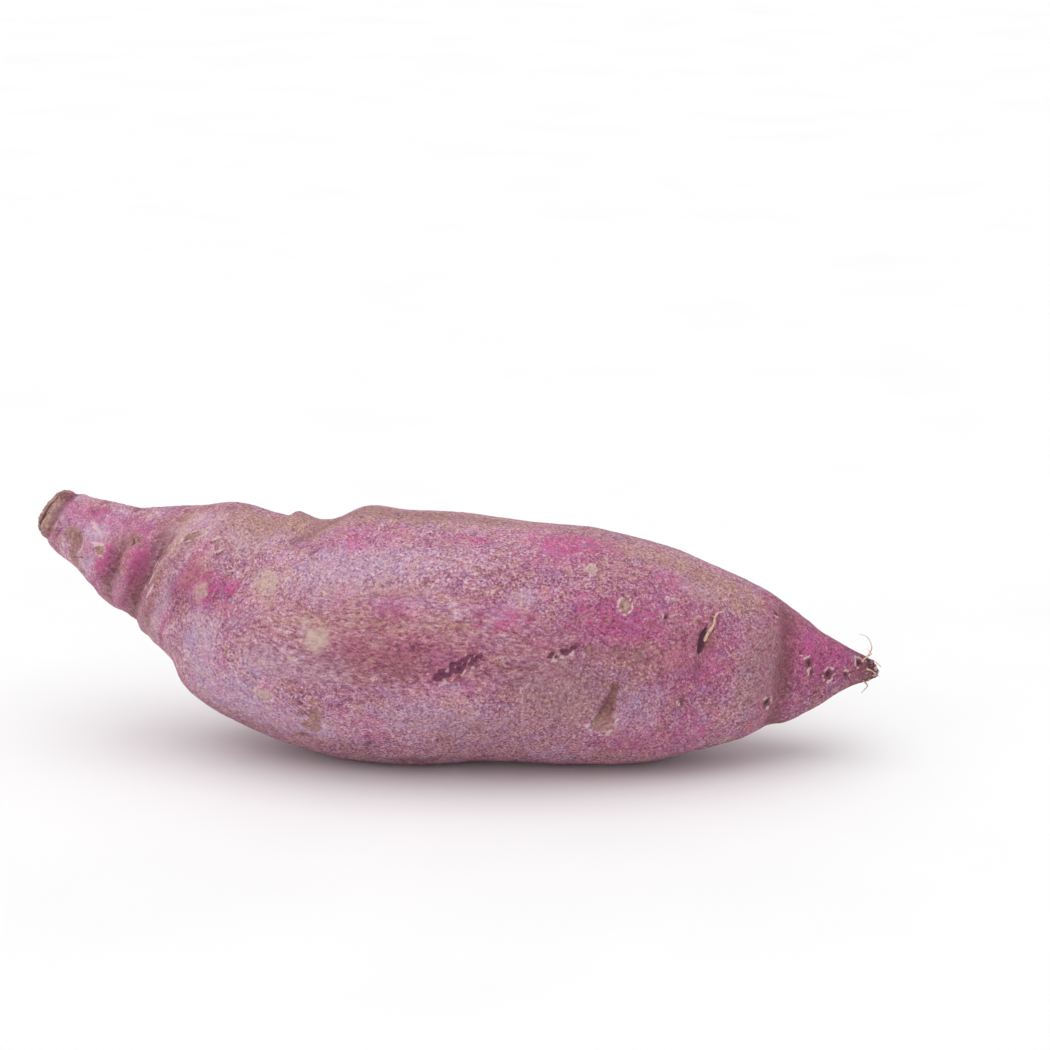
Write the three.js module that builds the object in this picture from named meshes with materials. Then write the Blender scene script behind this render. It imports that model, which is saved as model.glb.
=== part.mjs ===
// A purple sweet potato: one whole storage root, lying on its side.
//
// The root is one piece, so it is one solid. A spine runs along +X from the stalk end, a short
// neck that bends up and back, through the thick body, to the tapered root end. Each ring of the
// skin stands square to the spine. Round it the skin has the folds, the waist, the pits and the
// slow swellings of a grown root, and the belly is level where it meets the table.
//
// Units are millimetres, +Z is up, and the origin is on the table under the middle of the box.

import * as THREE from "three";

// Driving dimensions.
const LENGTH = 180; // from stalk end to root end, along X
const THICKNESS = 53; // height of the body where it is thickest
const FLAT_DEPTH = 0.9; // how far the belly is pressed level where it rests
const STALK_DOME = 2.2; // length of the rounded stub face at the stalk end
const ROOT_DOME = 1.6; // length of the rounding at the root end

// Mesh: rings of the skin along the spine, and points round each ring.
const RINGS = 92;
const AROUND = 48;
const DOME_RINGS = 5; // of the rings, how many close each end

// Stations of the spine from the stalk end to the root end. at is the share of LENGTH along X,
// back and lift are shares of THICKNESS behind the middle plane and above the table, and high
// and deep are the half height and half depth of the ring there, as shares of THICKNESS.
const STATIONS = [
  { at: 0.0, back: 0.36, lift: 0.965, high: 0.095, deep: 0.09 },
  { at: 0.035, back: 0.34, lift: 0.88, high: 0.14, deep: 0.135 },
  { at: 0.075, back: 0.31, lift: 0.81, high: 0.18, deep: 0.18 },
  { at: 0.1, back: 0.29, lift: 0.765, high: 0.22, deep: 0.205 },
  { at: 0.125, back: 0.27, lift: 0.74, high: 0.24, deep: 0.24 },
  { at: 0.185, back: 0.21, lift: 0.675, high: 0.32, deep: 0.325 },
  { at: 0.215, back: 0.18, lift: 0.64, high: 0.355, deep: 0.37 },
  { at: 0.25, back: 0.15, lift: 0.575, high: 0.43, deep: 0.42 },
  { at: 0.37, back: 0.05, lift: 0.505, high: 0.49, deep: 0.5 },
  { at: 0.49, back: 0.0, lift: 0.5, high: 0.505, deep: 0.535 },
  { at: 0.61, back: -0.02, lift: 0.485, high: 0.475, deep: 0.51 },
  { at: 0.73, back: -0.02, lift: 0.45, high: 0.43, deep: 0.45 },
  { at: 0.85, back: 0.0, lift: 0.405, high: 0.295, deep: 0.31 },
  { at: 0.91, back: 0.01, lift: 0.38, high: 0.19, deep: 0.19 },
  { at: 0.96, back: 0.02, lift: 0.37, high: 0.085, deep: 0.085 },
  { at: 1.0, back: 0.03, lift: 0.352, high: 0.022, deep: 0.022 },
];

// Angles round the root: 0 faces front (-Y), a quarter turn is the top, half a turn the back.
const TOP = Math.PI / 2;
const BOTTOM = -Math.PI / 2;

// Folds that run round the root. at is where the fold crosses the front, as a share of the
// spine, lean shifts it along the spine towards the top, depth and width are millimetres, and
// from and reach say which side of the root it marks and how far round it goes, in radians.
const FOLDS = [
  { at: 0.075, lean: 0.01, depth: 0.35, width: 1.2, from: -0.5, reach: 1.6 },
  { at: 0.1, lean: 0.02, depth: 0.6, width: 1.6, from: -0.3, reach: 1.9 },
  { at: 0.135, lean: 0.025, depth: 0.9, width: 1.9, from: 0.2, reach: 1.8 },
  { at: 0.156, lean: 0.02, depth: 0.5, width: 1.5, from: -0.6, reach: 1.5 },
  { at: 0.2, lean: 0.125, depth: 2.6, width: 6.5, from: 1.9, reach: 1.15 },
  { at: 0.885, lean: 0.01, depth: 0.8, width: 1.8, from: -0.3, reach: 1.9 },
  { at: 0.935, lean: 0.0, depth: 0.5, width: 1.6, from: 1.6, reach: 1.5 },
];

// Slow swellings and flats: a length-wise centre as a share of the spine, an angle round it,
// how far it reaches each way (share of the spine, radians) and its height in millimetres.
const SWELLINGS = [
  { at: 0.22, angle: 1.75, spread: 0.07, round: 0.8, height: 1.8 },
  { at: 0.38, angle: TOP, spread: 0.08, round: 1.0, height: 1.2 },
  { at: 0.66, angle: TOP, spread: 0.05, round: 0.9, height: 0.9 },
  { at: 0.55, angle: BOTTOM, spread: 0.07, round: 1.2, height: -2.0 },
  { at: 0.45, angle: 2.9, spread: 0.12, round: 0.9, height: 1.6 },
  { at: 0.68, angle: 3.6, spread: 0.07, round: 0.8, height: -1.2 },
  { at: 0.5, angle: 2.45, spread: 0.17, round: 0.3, height: -1.0 },
  { at: 0.6, angle: -2.3, spread: 0.14, round: 0.32, height: -0.9 },
];

// Pits where side roots grew, each a small dimple: share of the spine, angle, radius and depth.
const PITS = [
  { at: 0.79, angle: 0.12, radius: 4.0, depth: 1.3 },
  { at: 0.36, angle: 3.5, radius: 4.2, depth: 1.2 },
  { at: 0.6, angle: 2.5, radius: 3.8, depth: 1.1 },
  { at: 0.72, angle: 4.1, radius: 3.6, depth: 1.0 },
];

// The spine and the ring sizes run through the same stations, so one value of t reads both.
const spine = new THREE.CatmullRomCurve3(
  STATIONS.map(
    (s) =>
      new THREE.Vector3(
        (s.at - 0.5) * LENGTH,
        s.back * THICKNESS,
        s.lift * THICKNESS,
      ),
  ),
);
const ringSizes = new THREE.CatmullRomCurve3(
  STATIONS.map(
    (s) => new THREE.Vector3(s.high * THICKNESS, s.deep * THICKNESS, 0),
  ),
);
const spineLength = spine.getLength();

// The angle from b to a, between minus half a turn and half a turn.
function turnBetween(a, b) {
  return Math.atan2(Math.sin(a - b), Math.cos(a - b));
}

// A smooth hump of height 1, 0 beyond about twice its reach.
function hump(distance, reach) {
  return Math.exp(-((distance / reach) ** 2));
}

// How far the skin stands off the plain ring there, in millimetres: share is the place along the
// spine from 0 to 1, angle the place round it, and radius the plain ring's size.
function skinOffset(share, angle, radius) {
  let offset = radius * 0.022 * Math.cos(2 * angle + 3.1 * share);
  offset += radius * 0.018 * Math.cos(3 * angle - 5.0 * share + 0.8);
  offset += radius * 0.008 * Math.cos(5 * angle + 9.0 * share + 2.1);
  for (const fold of FOLDS) {
    const shift = fold.lean * Math.sin(angle) * fold.reach;
    const along = (share - fold.at - shift) * spineLength;
    const side = hump(turnBetween(angle, fold.from), fold.reach);
    offset -= fold.depth * side * hump(along, fold.width);
    offset +=
      0.3 * fold.depth * side * hump(along - 1.9 * fold.width, fold.width);
  }
  for (const swelling of SWELLINGS) {
    const round = turnBetween(angle, swelling.angle);
    offset +=
      swelling.height *
      hump(share - swelling.at, swelling.spread) *
      hump(round, swelling.round);
  }
  for (const pit of PITS) {
    const along = (share - pit.at) * spineLength;
    const round = turnBetween(angle, pit.angle) * radius;
    offset -= pit.depth * hump(Math.hypot(along, round), pit.radius);
  }
  return offset;
}

// Where ring number `ring` crosses the spine, as a share of its length, and how much the dome
// at that end has closed it: 1 on the open body, 0 at the pole.
function ringPlace(ring) {
  const stalk = STALK_DOME / spineLength;
  const root = ROOT_DOME / spineLength;
  if (ring <= DOME_RINGS) {
    const turn = ((ring / DOME_RINGS) * Math.PI) / 2;
    return { share: stalk * (1 - Math.cos(turn)), open: Math.sin(turn) };
  }
  if (ring >= RINGS - DOME_RINGS) {
    const turn = (((RINGS - ring) / DOME_RINGS) * Math.PI) / 2;
    return { share: 1 - root * (1 - Math.cos(turn)), open: Math.sin(turn) };
  }
  const body = (ring - DOME_RINGS) / (RINGS - 2 * DOME_RINGS);
  return { share: stalk + body * (1 - stalk - root), open: 1 };
}

// A point of the skin: the plain ring square to the spine, moved out or in by skinOffset.
function skinPoint(share, open, angle) {
  const t = spine.getUtoTmapping(share);
  const forward = spine.getTangent(t);
  const side = new THREE.Vector3(0, 0, 1).cross(forward).normalize();
  const up = forward.clone().cross(side);
  const size = ringSizes.getPoint(t);
  const outward = side
    .multiplyScalar(-Math.cos(angle) * size.y)
    .addScaledVector(up, Math.sin(angle) * size.x);
  const radius = outward.length();
  const stretch = 1 + skinOffset(share, angle, radius) / radius;
  return spine.getPoint(t).addScaledVector(outward, stretch * open);
}

// A sphere's mesh gives the rings and the two poles, and each of its points is put on the skin.
function rootGeometry() {
  const geometry = new THREE.SphereGeometry(1, AROUND, RINGS);
  const place = geometry.getAttribute("position");
  for (let i = 0; i < place.count; i++) {
    const ring = Math.floor(i / (AROUND + 1));
    const column = (i % (AROUND + 1)) % AROUND; // the last point of a ring is its first
    const { share, open } = ringPlace(ring);
    const angle = (column / AROUND) * 2 * Math.PI;
    const point = skinPoint(share, open, angle);
    place.setXYZ(i, point.x, point.y, point.z);
  }
  return geometry;
}

// Levels the belly: what hangs below the resting plane is pressed up onto it, which leaves two
// flat patches with a slight lift between them, and the root is set on the table over the origin.
function restOnTable(geometry) {
  geometry.computeBoundingBox();
  const box = geometry.boundingBox;
  const table = box.min.z + FLAT_DEPTH;
  const place = geometry.getAttribute("position");
  for (let i = 0; i < place.count; i++) {
    place.setZ(i, Math.max(place.getZ(i), table));
  }
  const middle = box.getCenter(new THREE.Vector3());
  geometry.translate(-middle.x, -middle.y, -table);
  geometry.computeVertexNormals();
  return geometry;
}

const skin = new THREE.MeshStandardMaterial({
  color: new THREE.Color(0.62, 0.38, 0.52),
  roughness: 0.72,
  metalness: 0,
});

const sweetPotato = new THREE.Mesh(restOnTable(rootGeometry()), skin);
sweetPotato.name = "sweet_potato";

const root = new THREE.Group();
root.add(sweetPotato);

export default root;
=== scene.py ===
"""A purple sweet potato lying on its side on a pale table.

The frame holds the root's true shape as one plain solid. This script lays a fine skin over that
solid, works folds, pits, scars and torn places into it as real relief, and colours it. The fine
rootlets are a piece of their own. Lengths are in millimetres until a mesh is made from them.
"""

import math

import bpy
import numpy as np
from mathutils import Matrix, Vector, noise
from mathutils.bvhtree import BVHTree


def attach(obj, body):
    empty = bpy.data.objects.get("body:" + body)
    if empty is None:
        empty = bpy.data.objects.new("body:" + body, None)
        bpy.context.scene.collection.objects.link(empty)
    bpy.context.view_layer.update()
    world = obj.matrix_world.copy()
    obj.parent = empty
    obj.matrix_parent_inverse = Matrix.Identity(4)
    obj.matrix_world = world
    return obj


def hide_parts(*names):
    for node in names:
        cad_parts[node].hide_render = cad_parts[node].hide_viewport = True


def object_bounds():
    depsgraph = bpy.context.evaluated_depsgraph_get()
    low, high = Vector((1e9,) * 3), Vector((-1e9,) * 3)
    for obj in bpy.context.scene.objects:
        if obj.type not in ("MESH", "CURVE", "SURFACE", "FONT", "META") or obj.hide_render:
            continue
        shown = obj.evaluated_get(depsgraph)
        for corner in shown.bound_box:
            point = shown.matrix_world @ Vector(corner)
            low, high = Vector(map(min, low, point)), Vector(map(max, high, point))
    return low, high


MM = 0.001

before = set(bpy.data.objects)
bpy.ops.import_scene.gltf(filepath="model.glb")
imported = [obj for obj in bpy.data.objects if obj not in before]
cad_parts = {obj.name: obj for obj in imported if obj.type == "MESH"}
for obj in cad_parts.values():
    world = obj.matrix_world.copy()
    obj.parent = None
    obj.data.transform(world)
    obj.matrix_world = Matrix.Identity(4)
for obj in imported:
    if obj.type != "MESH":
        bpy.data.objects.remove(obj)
cad_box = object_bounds()

# ---------------------------------------------------------------- the spine and the plain skin

SPINE_SECTIONS = 60  # places where the middle of the root is looked for
SPINE_STEPS = 600  # points of the finished spine
END_MARGIN = 5.0  # no section is taken nearer to an end than this
SLICE_HALF = 2.5  # half the thickness of the slices that give the first guess of the spine
CENTRING_PASSES = 5  # times the guess is moved to the middle of its sections
AROUND = 216  # points round each ring of the skin
BODY_RINGS = 410
STALK_RINGS = 30  # rings that close the stalk end
TIP_RINGS = 10  # rings that close the root end
STALK_CAP = 4.2  # how far from the stalk end its closing rings begin
TIP_CAP = 1.6


# What the skin is painted with, each a share from 0 to 1 at every point: brown cork, pale tan
# patches, dark soil with painted shade at the bottom of creases, cracks and pits, torn purple flesh,
# light edges, magenta flush, lavender bloom, smooth grey skin, a tan wash, painted brown shade in
# folds, hollows and beside raised flakes that also serves for brown stains, deep purple, streaks
# along and round the root, and the broken end of the stalk.
LAYERS = (
    "cork", "cream", "dark", "torn", "rim", "flush", "bloom",
    "grey", "tan", "shade_and_stain", "deep", "streak", "ringed", "stub",
)


def unit(rows):
    """Each row scaled to length 1."""
    return rows / np.linalg.norm(rows, axis=-1, keepdims=True)


def soften(rows, reach):
    """Rows blurred along the first axis by a bell of that reach, with both ends held."""
    width = int(math.ceil(3 * reach))
    bell = np.exp(-0.5 * (np.arange(-width, width + 1) / reach) ** 2)
    bell /= bell.sum()
    first = 2 * rows[:1] - rows[width:0:-1]
    last = 2 * rows[-1:] - rows[-2 : -width - 2 : -1]
    longer = np.concatenate([first, rows, last])
    return sum(w * longer[k : k + len(rows)] for k, w in enumerate(bell))


def soften_round(grid, reach):
    """The grid blurred round each ring by a bell of that reach."""
    width = int(math.ceil(3 * reach))
    bell = np.exp(-0.5 * (np.arange(-width, width + 1) / reach) ** 2)
    bell /= bell.sum()
    return sum(w * np.roll(grid, k - width, axis=1) for k, w in enumerate(bell))


def ring_axes(forward):
    """Unit vectors to the back and up, square to each row of forward."""
    back = unit(np.cross([0.0, 0.0, 1.0], forward))
    return back, np.cross(forward, back)


def reach_of_skin(tree, origin, direction):
    """How far the skin is from origin in that direction. A ray that slips between two faces is
    tried again, turned a little."""
    for nudge in (0.0, 1e-3, -2e-3):
        hit = tree.ray_cast(Vector(origin), Vector(direction + nudge))
        if hit[3] is not None:
            return hit[3]
    raise ValueError("a ray from the spine missed the skin")


def middle_of_section(tree, inside, forward):
    """The middle of the root's section through a point inside it, square to forward."""
    back, up = ring_axes(forward[None])
    turns = np.linspace(0, 2 * math.pi, 36, endpoint=False)[:, None]
    rays = np.sin(turns) * up - np.cos(turns) * back
    reach = np.array([reach_of_skin(tree, inside, ray) for ray in rays])
    ends = rays * reach[:, None]
    following = np.roll(ends, -1, axis=0)
    slices = np.linalg.norm(np.cross(ends, following), axis=1)
    return inside + ((ends + following) / 3 * slices[:, None]).sum(0) / slices.sum()


def find_spine(tree, corners):
    """The line down the middle of the root, from the stalk end to the root end, evenly stepped."""
    low, high = corners.min(0), corners.max(0)
    line = []
    for x in np.linspace(low[0] + END_MARGIN, high[0] - END_MARGIN, SPINE_SECTIONS):
        near = corners[abs(corners[:, 0] - x) < SLICE_HALF]
        line.append([x, *((near.min(0) + near.max(0)) / 2)[1:]])
    line = np.array(line)
    for _ in range(CENTRING_PASSES):
        forward = unit(np.gradient(line, axis=0))
        line = np.array([middle_of_section(tree, p, f) for p, f in zip(line, forward)])
        line = soften(line, 1.2)
    forward = unit(np.gradient(line, axis=0))
    start = line[0] - forward[0] * reach_of_skin(tree, line[0], -forward[0])
    end = line[-1] + forward[-1] * reach_of_skin(tree, line[-1], forward[-1])
    line = np.concatenate([[start], line, [end]])
    walked = np.concatenate([[0], np.cumsum(np.linalg.norm(np.diff(line, axis=0), axis=1))])
    steps = np.linspace(0, walked[-1], SPINE_STEPS)
    even = np.stack([np.interp(steps, walked, line[:, k]) for k in range(3)], axis=1)
    return soften(even, 8.0), walked[-1]


class Skin:
    """The skin as a grid of rings: where each point is, and how it lies on the root.

    Angles round the root are 0 at the front, a quarter turn at the top, half a turn at the back.
    along is the distance from the stalk end down the spine, girth the mean radius of each ring,
    and straight the place of each point if the spine were pulled straight.
    """

    def __init__(self, node):
        mesh = node.data
        corners = np.array([v.co for v in mesh.vertices]) / MM
        tree = BVHTree.FromPolygons([Vector(c) for c in corners], [p.vertices for p in mesh.polygons])
        spine, self.length = find_spine(tree, corners)
        walk = np.linspace(0, self.length, SPINE_STEPS)
        tangent = unit(soften(np.gradient(spine, axis=0), 30.0))  # so that no rings cross

        # Each ring has a place on the spine and a lean: a quarter turn back to face the stalk
        # end, none on the body, a quarter turn forward to face the root end.
        stalk_lean = -np.linspace(math.pi / 2, 0, STALK_RINGS + 1)[1:]
        tip_lean = np.linspace(0, math.pi / 2, TIP_RINGS + 1)[:-1]
        body = np.linspace(STALK_CAP, self.length - TIP_CAP, BODY_RINGS + 2)[1:-1]
        place = np.concatenate(
            [np.full(STALK_RINGS, STALK_CAP), body, np.full(TIP_RINGS, self.length - TIP_CAP)]
        )
        lean = np.concatenate([stalk_lean, np.zeros(BODY_RINGS), tip_lean])
        origin = np.stack([np.interp(place, walk, spine[:, k]) for k in range(3)], axis=1)
        forward = unit(np.stack([np.interp(place, walk, tangent[:, k]) for k in range(3)], axis=1))
        back, up = ring_axes(forward)
        self.angle = np.linspace(-math.pi, math.pi, AROUND, endpoint=False)
        spoke = (
            np.sin(self.angle)[None, :, None] * up[:, None]
            - np.cos(self.angle)[None, :, None] * back[:, None]
        )
        ray = np.cos(lean)[:, None, None] * spoke + (np.sin(lean)[:, None] * forward)[:, None]
        reach = np.array(
            [[reach_of_skin(tree, o, r) for r in ring] for o, ring in zip(origin, ray)]
        )
        reach = soften_round(soften(reach, 2.2), 1.8)

        self.place = origin[:, None] + ray * reach[..., None]
        self.poles = (
            origin[0] - forward[0] * reach[0].mean(),
            origin[-1] + forward[-1] * reach[-1].mean(),
        )
        self.along = place[:, None] + np.sin(lean)[:, None] * reach
        radius = np.cos(lean)[:, None] * reach
        self.girth = soften(radius.mean(1)[:, None], 4.0)[:, 0]
        self.ring_along = self.along.mean(1)
        self.straight = np.stack(
            [self.along, radius * np.cos(self.angle), radius * np.sin(self.angle)], axis=-1
        )
        self.relief = np.zeros(reach.shape)
        self.layers = {name: np.zeros(reach.shape) for name in LAYERS}

    def normals(self):
        """The outward normal at each point of the grid."""
        rings = np.gradient(self.place, axis=0)
        columns = (np.roll(self.place, -1, axis=1) - np.roll(self.place, 1, axis=1)) / 2
        return unit(np.cross(rings, columns))


skin = Skin(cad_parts["sweet_potato"])

# ---------------------------------------------------------------- tools for working the skin


def grains(size, stretch=1.0, octaves=2, seed=0):
    """A smooth random field over the skin, about -1 to 1, with lumps of that size in
    millimetres. stretch draws the lumps out along the root."""
    points = skin.straight.reshape(-1, 3) / (size * np.array([stretch, 1.0, 1.0])) + 31.7 * seed
    field = [noise.fractal(p, 0.8, 2.1, octaves) for p in points.tolist()]
    return np.array(field).reshape(skin.relief.shape)


def fade(values, low, high):
    """0 where values are below low, 1 above high, and smooth between."""
    t = np.clip((values - low) / (high - low), 0, 1)
    return t * t * (3 - 2 * t)


def lay(name, mask, most=1.0):
    """Paints a layer: mask adds to what is there, and never passes 1."""
    layer = skin.layers[name]
    layer[:] = 1 - (1 - layer) * (1 - np.clip(mask, 0, 1) * most)


ragged = grains(1.3, octaves=3, seed=1)  # breaks up the edge of every mark
wander = grains(9.0, seed=2)  # lets long marks stray from their line
breaks = grains(1.1, seed=20)  # leaves gaps in lines and rims


def spread_out(share, angle, turn=0.0):
    """Millimetres from a place on the root: along it and round it, turned by an angle."""
    girth = np.interp(share * skin.length, skin.ring_along, skin.girth)
    along = skin.along - share * skin.length
    turned = (skin.angle - angle + math.pi) % (2 * math.pi) - math.pi
    around = np.broadcast_to(turned * girth, along.shape)
    return (
        along * math.cos(turn) + around * math.sin(turn),
        around * math.cos(turn) - along * math.sin(turn),
    )


def oval(share, angle, long, wide, turn=0.0, rough=0.25):
    """How far each point is from the middle of an oval, 1 at its ragged edge. long and wide are
    its half lengths in millimetres before it is turned."""
    p, q = spread_out(share, angle, turn)
    return np.hypot(p / long, q / wide) + rough * ragged


def patch(name, share, angle, long, wide, most=1.0, turn=0.0, soft=0.6, rough=0.25):
    """A patch of one layer. soft is how much of its half length its edge takes."""
    reach = oval(share, angle, long, wide, turn, rough)
    lay(name, 1 - fade(reach, 1 - soft, 1 + soft), most)


def patches(*rows):
    """Several patches. A row has the layer, share and angle, the half lengths, most and rough."""
    for name, share, angle, long, wide, most, rough in rows:
        patch(name, share, angle, long, wide, most, rough=rough)


def line_of(points):
    """How far each point of the skin is from a line drawn on it, and how far down the line its
    nearest point is, from 0 to 1. The line goes through places given by share and angle."""
    share, angle = points[0]
    girth = np.interp(share * skin.length, skin.ring_along, skin.girth)
    p, q = spread_out(share, angle)
    corners = [((s - share) * skin.length, (a - angle) * girth) for s, a in points]
    nearest = np.full(p.shape, np.inf)
    down = np.zeros(p.shape)
    for k, ((px, py), (qx, qy)) in enumerate(zip(corners[:-1], corners[1:])):
        run = max((qx - px) ** 2 + (qy - py) ** 2, 1e-9)
        t = np.clip(((p - px) * (qx - px) + (q - py) * (qy - py)) / run, 0, 1)
        away = np.hypot(p - px - t * (qx - px), q - py - t * (qy - py))
        closer = away < nearest
        nearest[closer] = away[closer]
        down[closer] = ((k + t) / (len(corners) - 1))[closer]
    return nearest, down


def lens(down):
    """Full in the middle of a line and thin at both its ends."""
    return np.sqrt(np.clip(4 * down * (1 - down), 0.04, 1))


# ---------------------------------------------------------------- kinds of mark


def fold(share, lean, depth, width, start, end, shade=0.7, tan=0.6, line=0.6):
    """A soft groove that runs round the root between two angles, with painted brown shade along it,
    a broken dark line of painted shade at its bottom and a tan lip on the side of the root end.
    lean shifts it along the root towards the top, as a share of the root's length."""
    middle = (share + lean * np.sin(skin.angle)) * skin.length
    across = skin.along - middle + 0.8 * wander + 0.3 * ragged
    half, centre = (end - start) / 2, (end + start) / 2
    turned = abs((skin.angle - centre + math.pi) % (2 * math.pi) - math.pi)
    here = 1 - fade(turned, half - 0.45, half + 0.25)
    groove = np.exp(-((across / width) ** 2)) * here
    crest = np.exp(-(((across - 2.0 * width) / (1.3 * width)) ** 2)) * here
    before = np.exp(-(((across + 2.0 * width) / (1.4 * width)) ** 2)) * here
    skin.relief += depth * (0.35 * crest - groove + 0.12 * breaks * groove)
    # painted brown shade along the groove, then a broken dark line of painted shade at its bottom
    lay("shade_and_stain", groove * (0.85 + 0.5 * breaks), shade)
    lay("dark", groove**14 * fade(breaks, -0.15, 0.25), line)
    lay("tan", crest * (0.8 + 0.5 * ragged), tan)
    lay("flush", before, 0.5 * shade)


def lenticel(share, angle, long, wide, turn=0.0, raised=0.12, most=1.0, layer="cream"):
    """A breathing spot: a small corky oval with a light raised rim."""
    reach = oval(share, angle, long, wide, turn, rough=0.18)
    inside = 1 - fade(reach, 0.75, 1.05)
    rim = np.exp(-(((reach - 1.12) / 0.22) ** 2)) * fade(breaks, -0.6, -0.1)
    skin.relief += raised * most * (rim - 0.6 * inside)
    lay(layer, inside, most)
    lay("rim", rim, 0.85 * most)


def pit(share, angle, size, depth, dark=0.85):
    """A dimple where a side root grew: brown, dark in the middle, partly painted shade in the
    hollow, in a broken light rim.
    """
    reach = oval(share, angle, size, 1.25 * size, rough=0.5)
    skin.relief -= depth * np.exp(-(reach**2))
    rim = np.exp(-(((reach - 1.6) / 0.45) ** 2)) * fade(breaks, -0.3, 0.15)
    skin.relief += 0.35 * depth * rim
    # brown and dark in the hollow: part stain, part painted shade
    lay("shade_and_stain", 1 - fade(reach, 0.8, 2.4), dark)
    lay("dark", 1 - fade(reach, 0.3, 1.1), dark)
    lay("rim", rim, dark)


def crack(points, width, depth, layer="dark", most=1.0):
    """A fine line in the skin: sunk, or raised where depth is below 0."""
    away, down = line_of(points)
    mark = np.exp(-(((away + 0.2 * width * ragged) / (width * lens(down))) ** 2))
    skin.relief -= depth * mark
    lay(layer, mark, most)


def torn(points, width):
    """A place where the skin was rubbed off: purple and sunk, with pale threads left inside and
    a curled light edge below it."""
    away, down = line_of(points)
    reach = (away + 0.60 * width * grains(1.1, seed=3)) / (width * np.sqrt(lens(down)))
    inside = 1 - fade(reach, 0.50, 0.85)
    threads = fade(grains(0.7, octaves=2, seed=4), 0.12, 0.4)
    skin.relief -= 0.40 * inside * (1 - 0.8 * threads)
    lay("deep", 1 - fade(reach, 0.8, 3.0), 0.9)
    lay("torn", inside * (1 - 0.8 * threads))
    lay("rim", inside * threads, 0.5)
    (s0, a0), (s1, a1) = points[0], points[-1]
    drop = 1.15 * width / np.interp(s0 * skin.length, skin.ring_along, skin.girth)
    middle = ((s0 + s1) / 2, (a0 + a1) / 2 - drop)
    edge, edge_down = line_of([(s0 - 0.004, a0 - drop), middle, (s1 + 0.006, a1 - 0.6 * drop)])
    curl = np.exp(-(((edge + 0.4 * ragged) / (0.38 * lens(edge_down))) ** 2))
    curl = curl * fade(breaks, -0.35, 0.1)
    skin.relief += 0.22 * curl
    lay("rim", curl, 0.8)


def gouge(points, first_width, last_width, depth):
    """A long sunk scar that widens down its line: brown, with painted shade in its narrow upper
    part, tan at its broad end, with a pale edge.
    """
    away, down = line_of(points)
    width = first_width + (last_width - first_width) * down**1.6
    reach = (away + 0.55 * ragged) / width
    inside = 1 - fade(reach, 0.75, 1.0)
    skin.relief -= depth * inside * (1 - 0.45 * down)
    edge = np.exp(-(((reach - 1.2) / 0.3) ** 2)) * fade(down, 0.3, 0.8) * fade(breaks, -0.3, 0.1)
    skin.relief += 0.25 * edge
    lay("cork", inside)
    # painted shade in the sunk upper part of the scar
    lay("shade_and_stain", inside * (1 - fade(down, 0.6, 1.0)) * (0.9 + 0.4 * breaks), 0.85)
    lay("cream", inside * fade(down + 0.2 * breaks, 0.8, 1.1), 0.4)
    lay("rim", edge, 0.75)


# ---------------------------------------------------------------- the marks of this root


def work_stalk():
    """The broken stalk: a small corky stump, cracked, set off from the skin by a furrow."""
    fibre = grains(0.8, seed=5, octaves=3)
    stump = 1 - fade(skin.along + 0.8 * ragged, 2.8, 4.2)
    skin.relief += stump * (0.22 * fibre + 0.15 * grains(2.2, seed=6))
    lay("stub", stump)
    lay("cream", stump * fade(0.9 - skin.along + 0.8 * breaks, 0.0, 0.8), 0.7)
    crack([(0.010, 1.3), (0.006, 0.5), (0.007, -0.4), (0.010, -1.2)], 0.50, 0.6)
    crack([(0.004, 2.6), (0.006, 3.4), (0.009, 4.4)], 0.45, 0.5, most=0.9)
    fold(0.022, 0.001, 0.40, 0.8, -3.3, 3.3, shade=0.75, tan=0.2, line=0.3)
    patches(
        ("bloom", 0.016, 0.20, 0.9, 2.6, 0.8, 0.25),
        ("grey", 0.016, 0.20, 1.1, 3.0, 0.8, 0.25),
        ("shade_and_stain", 0.018, 1.30, 1.8, 1.8, 1.0, 0.25),
        ("cork", 0.023, -0.10, 1.0, 1.6, 0.8, 0.5),
        ("flush", 0.023, -0.35, 0.9, 1.0, 0.9, 0.25),
        ("grey", 0.022, 0.6, 1.4, 2.0, 0.6, 0.25),
    )


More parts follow.
